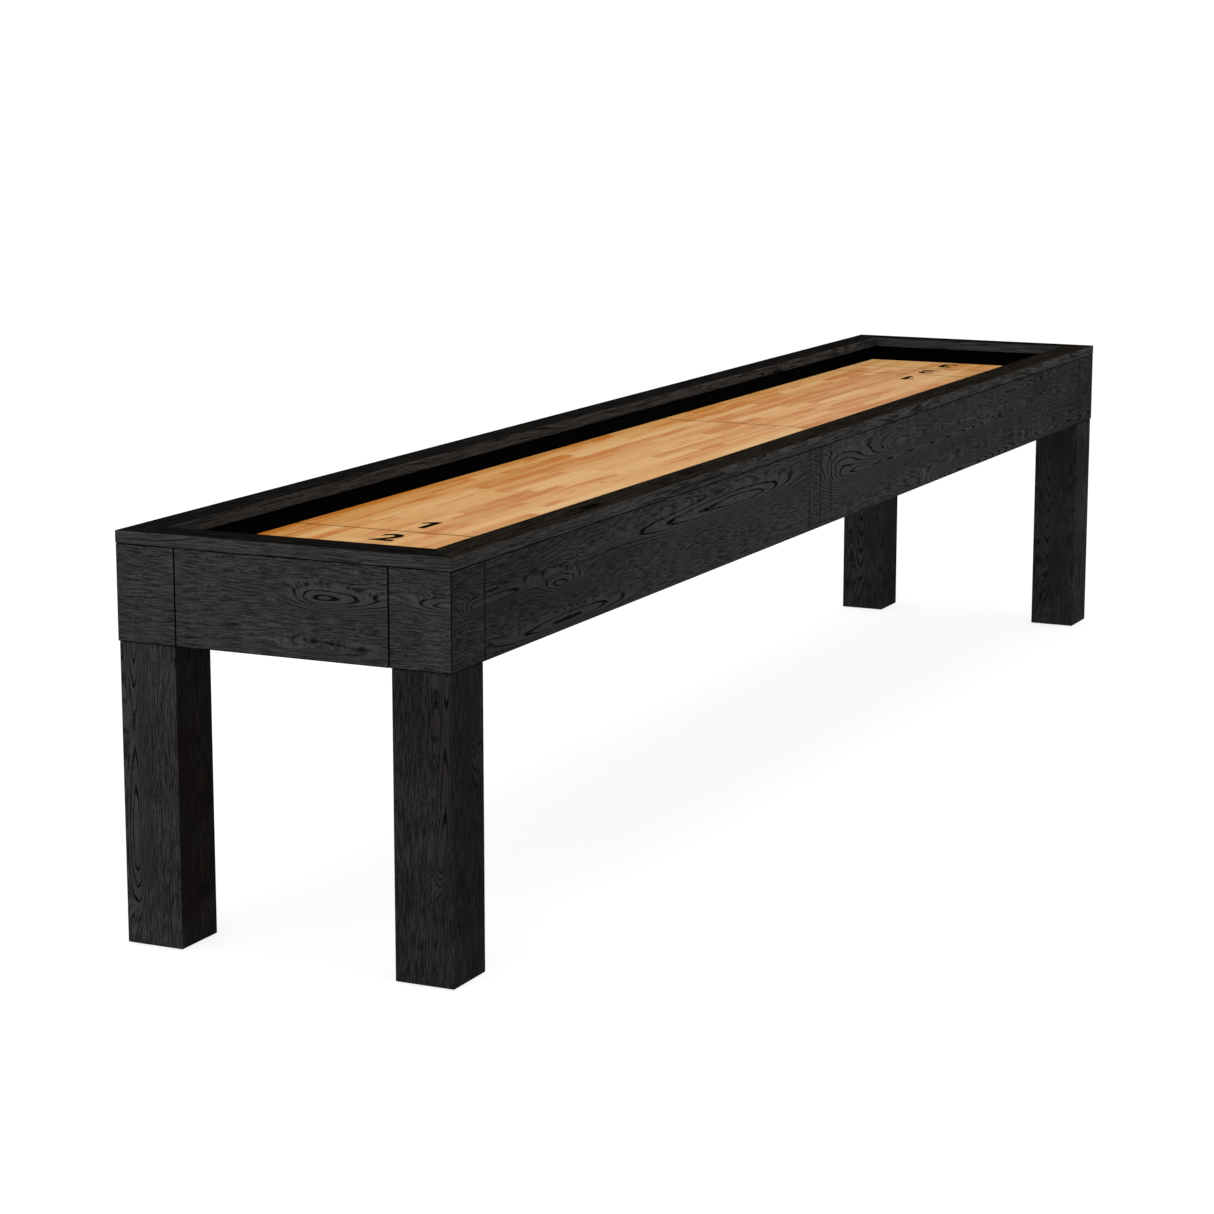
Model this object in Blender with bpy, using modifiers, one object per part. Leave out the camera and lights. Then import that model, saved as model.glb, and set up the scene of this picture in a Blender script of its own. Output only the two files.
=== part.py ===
"""Shuffleboard table for the home: a long oak cabinet on four square legs, a butcher-block
playfield with a gutter all round it, climatic adjusters under the board and screw levellers
under the legs.

Metres. +X runs along the table to the far end, +Y to the left-hand long side, +Z up.
The origin is on the floor, under the middle of the table.
"""
import math

import bmesh
import bpy
from mathutils import Matrix, Vector

# ---- driving dimensions -------------------------------------------------------------------
LENGTH = 3.85
WIDTH = 0.70
HEIGHT = 0.79
FIT = 0.0003  # gap between pieces that touch

CAP_THICKNESS = 0.024  # the flat rail on top of the cabinet
CAP_WIDTH = 0.071
APRON_HEIGHT = 0.184
APRON_THICKNESS = 0.032
POST_WIDTH = 0.1265  # each face of a corner post
SEAM_X = -0.168  # where the two halves of the cabinet meet
JOINT_BLOCK_WIDTH = 0.064
KERF_WIDTH = 0.0036  # the square saw kerf over each upright joint
KERF_DEPTH = 0.0032
EDGE_BREAK = 0.0016  # chamfers that make the shadow line where two boards meet
CAP_EDGE_BREAK = 0.0010

FLOOR_THICKNESS = 0.026  # carpeted gutter floor
LINER_THICKNESS = 0.008  # felt-covered wall of the gutter
PLAYFIELD_DROP = 0.050  # from the top of the rail to the playing surface
PLAYFIELD_THICKNESS = 0.045
PLAYFIELD_WIDTH = 0.500
PLAYFIELD_LENGTH = 3.506
SUPPORT_LENGTH = 0.460  # bulkheads and cleats, across the table
BULKHEAD_THICKNESS = 0.032
CLEAT_THICKNESS = 0.060
CLEAT_INSET = 0.150  # from the end of the playfield to the middle of its end cleat

LEG_SIZE = 0.121
LEG_INSET = 0.002
LEG_CLEARANCE = 0.003  # from the floor to the foot of the leg, levellers wound right in

BOLT_RADIUS = 0.005
BOLT_HEAD_FLATS = 0.017
BOLT_HEAD_HEIGHT = 0.0065
LEG_BOLT_LENGTH = 0.110
JOINING_BOLT_Y = 0.150

STEM_RADIUS = 0.005  # M10, 1.5 mm pitch
STEM_LENGTH = 0.058
STEM_HEX_FLATS = 0.014
STEM_HEX_HEIGHT = 0.006
PAD_RADIUS = 0.020
PAD_HEIGHT = 0.008
INSERT_RADIUS = 0.008
INSERT_LENGTH = 0.018

ROD_RADIUS = 0.006  # climatic adjuster
ROD_HEAD_FLATS = 0.019
ROD_HEAD_HEIGHT = 0.008
BRACKET_SPREAD = 0.170  # from the middle of the board to the upright flange
BRACKET_LENGTH = 0.070
BRACKET_FLANGE = 0.050
BRACKET_THICKNESS = 0.005
ROD_DROP = 0.032  # from the underside of the board to the rod
ACCESS_SIZE = 0.120  # square hole in the gutter floor, for a spanner on the screw's head

ROUND_SIDES = 24

# ---- worked out from them -----------------------------------------------------------------
HALF_LENGTH = LENGTH / 2
HALF_WIDTH = WIDTH / 2
CAP_BOTTOM = HEIGHT - CAP_THICKNESS
APRON_BOTTOM = CAP_BOTTOM - APRON_HEIGHT
FLOOR_TOP = APRON_BOTTOM + FLOOR_THICKNESS
INNER_X = HALF_LENGTH - APRON_THICKNESS  # inside faces of the aprons
INNER_Y = HALF_WIDTH - APRON_THICKNESS
PLAYFIELD_TOP = HEIGHT - PLAYFIELD_DROP
PLAYFIELD_BOTTOM = PLAYFIELD_TOP - PLAYFIELD_THICKNESS
LEG_TOP = APRON_BOTTOM - FIT
LEG_X = HALF_LENGTH - LEG_INSET - LEG_SIZE / 2  # middle of a leg
LEG_Y = HALF_WIDTH - LEG_INSET - LEG_SIZE / 2
CLEAT_X = PLAYFIELD_LENGTH / 2 - CLEAT_INSET
STEM_HEX_BOTTOM = PAD_HEIGHT + FIT
INSERT_BOTTOM = STEM_HEX_BOTTOM + STEM_HEX_HEIGHT + FIT
STEM_TOP = STEM_HEX_BOTTOM + STEM_LENGTH

ENDS = {"near": -1, "far": 1}
SIDES = {"left": 1, "right": -1}

# ---- a clean scene ------------------------------------------------------------------------
for old in list(bpy.data.objects):
    bpy.data.objects.remove(old)

PARTS = bpy.data.collections.new("shuffleboard_table")
CUTTERS = bpy.data.collections.new("cutters")
for collection in (PARTS, CUTTERS):
    bpy.context.scene.collection.children.link(collection)


def finish(name, colour, roughness, metallic=0.0):
    material = bpy.data.materials.new(name)
    material.use_nodes = True
    shader = material.node_tree.nodes["Principled BSDF"]
    shader.inputs["Base Color"].default_value = (*colour, 1.0)
    shader.inputs["Roughness"].default_value = roughness
    shader.inputs["Metallic"].default_value = metallic
    material.diffuse_color = (*colour, 1.0)
    return material


BLACK_OAK = finish("black_oak", (0.032, 0.031, 0.030), 0.55)
MAPLE = finish("maple", (0.62, 0.34, 0.13), 0.25)
FELT = finish("felt", (0.008, 0.008, 0.008), 0.95)
STEEL = finish("zinc_steel", (0.60, 0.60, 0.58), 0.35, 1.0)
NYLON = finish("black_nylon", (0.02, 0.02, 0.02), 0.45)


# ---- modelling helpers --------------------------------------------------------------------
def place(name, bm, location, material):
    """Makes an object of a bmesh: a part with a material, or a cutter without one."""
    mesh = bpy.data.meshes.new(name)
    bm.to_mesh(mesh)
    bm.free()
    piece = bpy.data.objects.new(name, mesh)
    piece.location = location
    if material:
        mesh.materials.append(material)
        PARTS.objects.link(piece)
    else:
        piece.hide_render = True
        piece.display_type = "WIRE"
        CUTTERS.objects.link(piece)
    return piece


def block(name, low, high, material=None, edge=0.0):
    """A board or block between two corners, with its edges broken by a chamfer."""
    low, high = Vector(low), Vector(high)
    bm = bmesh.new()
    bmesh.ops.create_cube(bm, size=1.0)
    bmesh.ops.scale(bm, vec=high - low, verts=bm.verts)
    piece = place(name, bm, (low + high) / 2, material)
    if edge:
        bevel = piece.modifiers.new("edge_break", "BEVEL")
        bevel.width = edge
        bevel.segments = 1
    return piece


def board(name, x, y, z, material=BLACK_OAK, edge=EDGE_BREAK):
    """A block given by its three spans; a span may be given either way round."""
    spans = [sorted(span) for span in (x, y, z)]
    low = [span[0] for span in spans]
    high = [span[1] for span in spans]
    return block(name, low, high, material, edge)


def turned(name, profile, location, material=None):
    """A round piece on an upright axis. The profile is (radius, height) points, and runs down
    its outer side; it starts and ends on the axis, or is a closed ring when it has a bore."""
    bm = bmesh.new()
    verts = [bm.verts.new((radius, 0.0, height)) for radius, height in profile]
    for first, second in zip(verts, verts[1:]):
        bm.edges.new((first, second))
    if profile[0][0] > 0.0:
        bm.edges.new((verts[-1], verts[0]))
    piece = place(name, bm, location, material)
    screw = piece.modifiers.new("turn", "SCREW")
    screw.steps = screw.render_steps = ROUND_SIDES
    screw.use_merge_vertices = True
    screw.merge_threshold = 0.00001
    screw.use_smooth_shade = True
    return piece


def rod(bm, radius, bottom, top, sides=ROUND_SIDES):
    """Adds an upright cylinder or prism to a bmesh."""
    middle = Matrix.Translation((0.0, 0.0, (bottom + top) / 2))
    bmesh.ops.create_cone(bm, cap_ends=True, segments=sides, radius1=radius, radius2=radius,
                          depth=top - bottom, matrix=middle)


def hexagon(bm, flats, bottom, top):
    """Adds a hexagonal head or nut to a bmesh, from its size across flats."""
    rod(bm, flats / math.sqrt(3.0), bottom, top, sides=6)


def joined(name, add_first, others, location, material, axis="Z"):
    """One solid made of several overlapping shapes, each drawn upright by its own function and
    then laid along the wanted axis."""
    lay = {"X": Matrix.Rotation(math.radians(90.0), 4, "Y"),
           "Y": Matrix.Rotation(math.radians(-90.0), 4, "X"),
           "Z": Matrix.Identity(4)}[axis]
    bm = bmesh.new()
    add_first(bm)
    bm.transform(lay)
    piece = place(name, bm, location, material)
    for number, add in enumerate(others):
        bm = bmesh.new()
        add(bm)
        bm.transform(lay)
        tool = place(f"{name}_shape_{number}", bm, location, None)
        union = piece.modifiers.new("join", "BOOLEAN")
        union.operation = "UNION"
        union.object = tool
    return piece


def cut(piece, cutter):
    """Takes a cutter's shape out of a piece."""
    difference = piece.modifiers.new("cut", "BOOLEAN")
    difference.operation = "DIFFERENCE"
    difference.object = cutter


def bore(name, radius, low, high):
    """A round cutter whose ends are at two points on one of the three axes."""
    low, high = Vector(low), Vector(high)
    along = high - low
    bm = bmesh.new()
    rod(bm, radius, -along.length / 2, along.length / 2)
    bm.transform(along.to_track_quat("Z", "Y").to_matrix().to_4x4())
    return place(name, bm, (low + high) / 2, None)


# ---- kerfs: the square grooves over the upright joints of the cabinet ---------------------
def kerf(name, x, y):
    """A groove as high as the apron, at one point of the cabinet's outer face."""
    along_side = abs(y) == HALF_WIDTH
    reach_x, reach_y = (KERF_WIDTH / 2, KERF_DEPTH) if along_side else (KERF_DEPTH, KERF_WIDTH / 2)
    low = (x - reach_x, y - reach_y, APRON_BOTTOM - KERF_WIDTH)
    high = (x + reach_x, y + reach_y, CAP_BOTTOM + KERF_WIDTH)
    return block(name, low, high)


POST_X = HALF_LENGTH - POST_WIDTH  # where a corner post ends along the side
POST_Y = HALF_WIDTH - POST_WIDTH  # and along the end
KERFS = {}
for side, y_sign in SIDES.items():
    stations = {"near_post": -POST_X, "near_block": SEAM_X - JOINT_BLOCK_WIDTH, "seam": SEAM_X,
                "far_block": SEAM_X + JOINT_BLOCK_WIDTH, "far_post": POST_X}
    for station, x in stations.items():
        KERFS[station, side] = kerf(f"kerf_{station}_{side}", x, y_sign * HALF_WIDTH)
    for end, x_sign in ENDS.items():
        KERFS[f"{end}_end", side] = kerf(f"kerf_{end}_end_{side}", x_sign * HALF_LENGTH,
                                         y_sign * POST_Y)

# ---- cabinet: corner posts, aprons and joint blocks ---------------------------------------
APRON_Z = (APRON_BOTTOM, CAP_BOTTOM - FIT)

for end, x_sign in ENDS.items():
    for side, y_sign in SIDES.items():
        label = f"{end}_{side}"
        post = board(f"corner_post_{label}", (x_sign * (POST_X + FIT / 2), x_sign * HALF_LENGTH),
                     (y_sign * (POST_Y + FIT / 2), y_sign * HALF_WIDTH), APRON_Z)
        # the post is an angle of two boards' thickness, open towards the gutter
        inside = board(f"post_inside_{label}", (x_sign * (POST_X - CAP_WIDTH), x_sign * INNER_X),
                       (y_sign * (POST_Y - CAP_WIDTH), y_sign * INNER_Y),
                       (APRON_BOTTOM - CAP_WIDTH, HEIGHT), None, 0.0)
        cut(post, inside)
        cut(post, KERFS[f"{end}_post", side])
        cut(post, KERFS[f"{end}_end", side])

    apron = board(f"end_apron_{end}", (x_sign * INNER_X, x_sign * HALF_LENGTH),
                  (-POST_Y + FIT / 2, POST_Y - FIT / 2), APRON_Z)
    for side in SIDES:
        cut(apron, KERFS[f"{end}_end", side])

for side, y_sign in SIDES.items():
    depth = (y_sign * INNER_Y, y_sign * HALF_WIDTH)
    for end, x_sign in ENDS.items():
        block_end = SEAM_X + x_sign * JOINT_BLOCK_WIDTH
        apron = board(f"side_apron_{end}_{side}",
                      (block_end + x_sign * FIT / 2, x_sign * (POST_X - FIT / 2)), depth, APRON_Z)
        cut(apron, KERFS[f"{end}_post", side])
        cut(apron, KERFS[f"{end}_block", side])
        joint = board(f"joint_block_{end}_{side}",
                      (SEAM_X + x_sign * FIT / 2, block_end - x_sign * FIT / 2), depth, APRON_Z)
        cut(joint, KERFS["seam", side])
        cut(joint, KERFS[f"{end}_block", side])


# ---- top rail: mitred at the corners, butted at the seam ----------------------------------
def rail(name, x, y, axis, mitred):
    """A length of the flat rail along X (axis 0) or Y (axis 1). Its long edges are broken, and
    each end named in mitred, -1 or 1, is then sheared back by the rail's own width."""
    spans = [sorted(span) for span in (x, y, (CAP_BOTTOM, HEIGHT))]
    low, high = Vector([span[0] for span in spans]), Vector([span[1] for span in spans])
    middle = (low + high) / 2
    across = 1 - axis
    outward = math.copysign(1.0, middle[across])
    bm = bmesh.new()
    bmesh.ops.create_cube(bm, size=1.0)
    bmesh.ops.scale(bm, vec=high - low, verts=bm.verts)
    long_edges = [edge for edge in bm.edges
                  if abs(edge.verts[0].co[axis] - edge.verts[1].co[axis]) > CAP_WIDTH]
    bmesh.ops.bevel(bm, geom=long_edges, offset=CAP_EDGE_BREAK, affect="EDGES", segments=1,
                    profile=0.5, material=-1)
    for vert in bm.verts:
        end_sign = int(math.copysign(1, vert.co[axis]))
        if end_sign in mitred:
            vert.co[axis] -= end_sign * (CAP_WIDTH / 2 - vert.co[across] * outward)
    return place(name, bm, middle, BLACK_OAK)


MITRE_FIT = FIT * math.sqrt(0.5)  # each mitre gives up half the gap, measured along the rail

for end, x_sign in ENDS.items():
    rail(f"end_rail_{end}", (x_sign * (HALF_LENGTH - CAP_WIDTH), x_sign * HALF_LENGTH),
         (-HALF_WIDTH + MITRE_FIT, HALF_WIDTH - MITRE_FIT), 1, (-1, 1))
    for side, y_sign in SIDES.items():
        rail(f"side_rail_{end}_{side}",
             (SEAM_X + x_sign * FIT / 2, x_sign * (HALF_LENGTH - MITRE_FIT)),
             (y_sign * (HALF_WIDTH - CAP_WIDTH), y_sign * HALF_WIDTH), 0, (x_sign,))

# ---- inside the cabinet: gutter floor and gutter walls ------------------------------------
FLOORS = {}
for end, x_sign in ENDS.items():
    FLOORS[end] = board(f"gutter_floor_{end}",
                        (SEAM_X + x_sign * FIT / 2, x_sign * (INNER_X - FIT)),
                        (-INNER_Y + FIT, INNER_Y - FIT), (APRON_BOTTOM, FLOOR_TOP), FELT, 0.0)

LINER_Z = (FLOOR_TOP + FIT, CAP_BOTTOM - FIT)
for side, y_sign in SIDES.items():
    board(f"gutter_wall_{side}",
          (-INNER_X + FIT, INNER_X - FIT),
          (y_sign * (INNER_Y - FIT - LINER_THICKNESS), y_sign * (INNER_Y - FIT)),
          LINER_Z, FELT, 0.0)
END_LINER_REACH = INNER_Y - LINER_THICKNESS - 2 * FIT
for end, x_sign in ENDS.items():
    board(f"gutter_wall_{end}",
          (x_sign * (INNER_X - FIT - LINER_THICKNESS), x_sign * (INNER_X - FIT)),
          (-END_LINER_REACH, END_LINER_REACH), LINER_Z, FELT, 0.0)

# ---- playfield and what it rests on -------------------------------------------------------
board("playfield", (-PLAYFIELD_LENGTH / 2, PLAYFIELD_LENGTH / 2),
      (-PLAYFIELD_WIDTH / 2, PLAYFIELD_WIDTH / 2), (PLAYFIELD_BOTTOM, PLAYFIELD_TOP),
      MAPLE, EDGE_BREAK)

SUPPORT_Y = (-SUPPORT_LENGTH / 2, SUPPORT_LENGTH / 2)
SUPPORT_Z = (FLOOR_TOP + FIT, PLAYFIELD_BOTTOM - FIT)
BULKHEADS = []
for end, x_sign in ENDS.items():
    near_face = SEAM_X + x_sign * FIT / 2
    BULKHEADS.append(board(f"bulkhead_{end}", (near_face, near_face + x_sign * BULKHEAD_THICKNESS),
                           SUPPORT_Y, SUPPORT_Z))
    board(f"playfield_cleat_{end}",
          (x_sign * CLEAT_X - CLEAT_THICKNESS / 2, x_sign * CLEAT_X + CLEAT_THICKNESS / 2),
          SUPPORT_Y, SUPPORT_Z)

# ---- joining bolts: through both bulkheads, head on the near side and nut on the far ------
JOINING_Z = (FLOOR_TOP + PLAYFIELD_BOTTOM) / 2
GRIP = BULKHEAD_THICKNESS + 3 * FIT / 2  # from the seam to the underside of head or nut


def bolt_shank(bm):
    rod(bm, BOLT_RADIUS, -GRIP - BOLT_HEAD_HEIGHT / 2, GRIP + 2 * BOLT_HEAD_HEIGHT)


def bolt_ends():
    return [lambda bm: hexagon(bm, BOLT_HEAD_FLATS, -GRIP - BOLT_HEAD_HEIGHT, -GRIP),
            lambda bm: hexagon(bm, BOLT_HEAD_FLATS, GRIP, GRIP + BOLT_HEAD_HEIGHT)]


for side, y_sign in SIDES.items():
    y = y_sign * JOINING_BOLT_Y
    hole = bore(f"joining_hole_{side}", BOLT_RADIUS + FIT, (SEAM_X - 2 * GRIP, y, JOINING_Z),
                (SEAM_X + 2 * GRIP, y, JOINING_Z))
    for bulkhead in BULKHEADS:
        cut(bulkhead, hole)
    joined(f"joining_bolt_{side}", bolt_shank, bolt_ends(), (SEAM_X, y, JOINING_Z), STEEL, "X")

# ---- legs, each held by one long bolt down through the gutter floor -----------------------
HEAD_SEAT = FLOOR_TOP + FIT
POCKET = [(0.0, STEM_TOP + 0.006), (STEM_RADIUS + FIT, STEM_TOP + 0.006),
          (STEM_RADIUS + FIT, INSERT_BOTTOM + INSERT_LENGTH + FIT),
          (INSERT_RADIUS + FIT, INSERT_BOTTOM + INSERT_LENGTH + FIT),
          (INSERT_RADIUS + FIT, INSERT_BOTTOM - FIT), (PAD_RADIUS + 0.002, INSERT_BOTTOM - FIT),
          (PAD_RADIUS + 0.002, -LEG_CLEARANCE), (0.0, -LEG_CLEARANCE)]


def leg_bolt_shank(bm):
    rod(bm, BOLT_RADIUS, -LEG_BOLT_LENGTH, BOLT_HEAD_HEIGHT / 2)


def leg_bolt_head(bm):
    hexagon(bm, BOLT_HEAD_FLATS, 0.0, BOLT_HEAD_HEIGHT)


# ---- levellers: a threaded insert in the leg, a stem that turns in it, a pad that swivels -
INSERT_RING = [(STEM_RADIUS + FIT, INSERT_LENGTH), (INSERT_RADIUS, INSERT_LENGTH),
               (INSERT_RADIUS, 0.0), (STEM_RADIUS + FIT, 0.0)]
PAD_PROFILE = [(0.0, PAD_HEIGHT), (PAD_RADIUS * 0.72, PAD_HEIGHT), (PAD_RADIUS, PAD_HEIGHT * 0.6),
               (PAD_RADIUS, PAD_HEIGHT * 0.15), (PAD_RADIUS * 0.96, 0.0), (0.0, 0.0)]


def stem_shank(bm):
    rod(bm, STEM_RADIUS, STEM_HEX_HEIGHT / 2, STEM_LENGTH)


def stem_hex(bm):
    hexagon(bm, STEM_HEX_FLATS, 0.0, STEM_HEX_HEIGHT)


for end, x_sign in ENDS.items():
    for side, y_sign in SIDES.items():
        label = f"{end}_{side}"
        x, y = x_sign * LEG_X, y_sign * LEG_Y
        leg = board(f"leg_{label}", (x - LEG_SIZE / 2, x + LEG_SIZE / 2),
                    (y - LEG_SIZE / 2, y + LEG_SIZE / 2), (LEG_CLEARANCE, LEG_TOP))
        cut(leg, turned(f"leveller_pocket_{label}", POCKET, (x, y, 0.0)))
        hole = bore(f"leg_bolt_hole_{label}", BOLT_RADIUS + FIT,
                    (x, y, HEAD_SEAT - LEG_BOLT_LENGTH - 0.005), (x, y, FLOOR_TOP + 0.010))
        cut(leg, hole)
        cut(FLOORS[end], hole)
        joined(f"leg_bolt_{label}", leg_bolt_shank, [leg_bolt_head], (x, y, HEAD_SEAT), STEEL)

        turned(f"leveller_insert_{label}", INSERT_RING, (x, y, INSERT_BOTTOM), STEEL)
        turned(f"leveller_pad_{label}", PAD_PROFILE, (x, y, 0.0), NYLON)
        joined(f"leveller_stem_{label}", stem_shank, [stem_hex], (x, y, STEM_HEX_BOTTOM), STEEL)

# ---- climatic adjusters: two steel angles under the board and a tension screw between -----
ROD_Z = PLAYFIELD_BOTTOM - ROD_DROP
HEAD_FACE = BRACKET_SPREAD + BRACKET_THICKNESS / 2 + FIT  # where the screw's head bears
SCREW_END = BRACKET_SPREAD + BRACKET_THICKNESS / 2 + 0.014


def screw_shank(bm):
    rod(bm, ROD_RADIUS, -HEAD_FACE - ROD_HEAD_HEIGHT / 2, SCREW_END)


def screw_head(bm):
    hexagon(bm, ROD_HEAD_FLATS, -HEAD_FACE - ROD_HEAD_HEIGHT, -HEAD_FACE)


for end, x_sign in ENDS.items():
    x = (x_sign * CLEAT_X + SEAM_X) / 2
    hole = bore(f"adjuster_hole_{end}", ROD_RADIUS + FIT, (x, -PLAYFIELD_WIDTH / 2, ROD_Z),
                (x, PLAYFIELD_WIDTH / 2, ROD_Z))
    access = board(f"access_hole_{end}", (x - ACCESS_SIZE / 2, x + ACCESS_SIZE / 2),
                   (-HEAD_FACE - ACCESS_SIZE / 2, -HEAD_FACE + ACCESS_SIZE / 2),
                   (APRON_BOTTOM - FLOOR_THICKNESS, FLOOR_TOP + FLOOR_THICKNESS / 2), None, 0.0)
    cut(FLOORS[end], access)
    for side, y_sign in SIDES.items():
        upright = y_sign * BRACKET_SPREAD
        across = (x - BRACKET_LENGTH / 2, x + BRACKET_LENGTH / 2)
        top = PLAYFIELD_BOTTOM - FIT
        angle = board(f"adjuster_bracket_{end}_{side}", across,
                      (upright + y_sign * BRACKET_THICKNESS / 2,
                       upright + y_sign * (BRACKET_THICKNESS / 2 - BRACKET_FLANGE)),
                      (top - BRACKET_FLANGE, top), STEEL, 0.0005)
        # what is left of the square bar is an angle with its flange towards the middle
        waste = board(f"bracket_waste_{end}_{side}",
                      (across[0] - BRACKET_FLANGE, across[1] + BRACKET_FLANGE),
                      (upright - y_sign * BRACKET_THICKNESS / 2, upright - y_sign * 2 * BRACKET_FLANGE),
                      (top - 2 * BRACKET_FLANGE, top - BRACKET_THICKNESS), None, 0.0)
        cut(angle, waste)
        cut(angle, hole)
    joined(f"adjuster_screw_{end}", screw_shank, [screw_head], (x, 0.0, ROD_Z), STEEL, "Y")
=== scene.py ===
import math
import random

import bmesh
import bpy
from mathutils import Matrix, Vector


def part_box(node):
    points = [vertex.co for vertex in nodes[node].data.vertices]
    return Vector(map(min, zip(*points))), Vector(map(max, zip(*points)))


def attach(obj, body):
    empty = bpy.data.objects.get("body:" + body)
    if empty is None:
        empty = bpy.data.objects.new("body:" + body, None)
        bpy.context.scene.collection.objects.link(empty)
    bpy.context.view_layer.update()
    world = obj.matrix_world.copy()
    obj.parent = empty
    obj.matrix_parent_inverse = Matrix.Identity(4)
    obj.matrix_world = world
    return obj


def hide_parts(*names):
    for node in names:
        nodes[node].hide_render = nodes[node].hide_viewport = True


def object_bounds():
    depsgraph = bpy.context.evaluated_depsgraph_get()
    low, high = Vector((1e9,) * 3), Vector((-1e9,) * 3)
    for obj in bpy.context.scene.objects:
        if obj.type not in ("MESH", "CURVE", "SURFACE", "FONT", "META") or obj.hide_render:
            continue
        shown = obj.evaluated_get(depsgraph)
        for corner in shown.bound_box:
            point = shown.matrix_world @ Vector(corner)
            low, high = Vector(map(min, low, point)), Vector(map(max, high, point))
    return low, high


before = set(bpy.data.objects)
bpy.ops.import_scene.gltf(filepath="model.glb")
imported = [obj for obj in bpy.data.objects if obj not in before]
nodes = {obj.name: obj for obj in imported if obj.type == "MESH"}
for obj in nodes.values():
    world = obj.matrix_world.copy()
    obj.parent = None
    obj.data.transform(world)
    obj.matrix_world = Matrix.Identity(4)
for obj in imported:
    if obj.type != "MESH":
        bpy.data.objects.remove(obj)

# Looks of a home shuffleboard table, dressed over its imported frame, in the order a fitter
# would put it together. Metres; +X runs to the far end, +Y to the left-hand long side.
cad_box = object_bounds()

# ---- legs ---------------------------------------------------------------------------------
# Four square legs of black-stained oak, each glued up from four boards mitred at the corners,
# so that every face shows flat-sawn grain. The stain fills the open pores nearly black, and
# leaves the wood between them charcoal under a matt lacquer.


class Wire:
    """A socket of a finish. Arithmetic on it adds the Math nodes that work it out."""

    def __init__(self, tree, socket=None):
        self.tree = tree
        self.socket = socket

    def node(self, kind, settings=None, sockets=None, out=0):
        """Adds a node: its settings first, then the values or links of its sockets."""
        made = self.tree.nodes.new("ShaderNode" + kind)
        for setting, value in (settings or {}).items():
            if setting == "stops":
                while len(made.color_ramp.elements) < len(value):
                    made.color_ramp.elements.new(1.0)
                for element, (position, colour) in zip(made.color_ramp.elements, value):
                    element.position = position
                    element.color = colour
            else:
                setattr(made, setting, value)
        for key, value in (sockets or {}).items():
            if isinstance(value, Wire):
                self.tree.links.new(value.socket, made.inputs[key])
            else:
                made.inputs[key].default_value = value
        return Wire(self.tree, made.outputs[out])

    def maths(self, operation, *values):
        return self.node("Math", {"operation": operation}, dict(enumerate(values)))

    def __add__(self, other):
        return self.maths("ADD", self, other)

    def __sub__(self, other):
        return self.maths("SUBTRACT", self, other)

    def __rsub__(self, other):
        return self.maths("SUBTRACT", other, self)

    def __mul__(self, other):
        return self.maths("MULTIPLY", self, other)

    def __truediv__(self, other):
        return self.maths("DIVIDE", self, other)

    def __abs__(self):
        return self.maths("ABSOLUTE", self)

    __radd__ = __add__
    __rmul__ = __mul__

    def above(self, other):
        """1 where this is more than the other, and 0 elsewhere."""
        return self.maths("GREATER_THAN", self, other)

    def most(self, other):
        return self.maths("MAXIMUM", self, other)

    def whole(self):
        return self.maths("FLOOR", self)

    def fraction(self):
        return self.maths("FRACT", self)

    def step(self, low, high):
        """0 below low, 1 above high, and a soft step between them."""
        return self.node("MapRange", {"interpolation_type": "SMOOTHSTEP"},
                         {"Value": self, "From Min": low, "From Max": high})

    def pick(self, off, on):
        """The first value or wire where this is 0, and the second where it is 1."""
        return self * (on - off) + off

    def paint(self, first, second):
        """A colour from the first where this is 0 to the second where it is 1."""
        return self.node("Mix", {"data_type": "RGBA"}, {0: self, 6: first, 7: second}, out=2)

    def split(self):
        return [self.node("SeparateXYZ", None, {0: self}, axis) for axis in range(3)]


def card(red, green, blue):
    """A colour card's reading, 0 to 255, as the colour that light works with."""
    return [((part / 255 + 0.055) / 1.055) ** 2.4 for part in (red, green, blue)] + [1.0]


def cloud(x, y, z, detail=2.0, rough=0.5):
    """Soft noise about 0.5, over three wires that are already scaled."""
    spot = x.node("CombineXYZ", None, {0: x, 1: y, 2: z})
    return x.node("TexNoise", None,
                  {"Vector": spot, "Scale": 1.0, "Detail": detail, "Roughness": rough})


def new_finish(name, roughness, specular, metallic=0.0):
    """A material: its shader, where the surface is in metres, and which way it faces."""
    material = bpy.data.materials.new(name)
    material.use_nodes = True
    shader = material.node_tree.nodes["Principled BSDF"]
    shader.inputs["Roughness"].default_value = roughness
    shader.inputs["Specular IOR Level"].default_value = specular
    shader.inputs["Metallic"].default_value = metallic
    bare = Wire(material.node_tree)
    where = bare.node("TexCoord", out="Object").split()
    faces = [abs(part) for part in bare.node("TexCoord", out="Normal").split()]
    return material, shader, where, faces


def feed(shader, socket, wire):
    shader.id_data.links.new(wire.socket, shader.inputs[socket])


def relief(shader, height, metres):
    """Lets a height of 0 to 1 stand that many metres proud in the surface's shading."""
    feed(shader, "Normal", height.node("Bump", None, {"Distance": metres, "Height": height}))


RING = 0.0085  # a year's growth
CHARCOAL = card(67, 66, 64.5)
UMBER = card(27, 23, 20.5)  # the deep colour where the stain took darker, and of the painted shade on less lit faces
PORE_BLACK = card(10, 9, 8.5)


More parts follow.
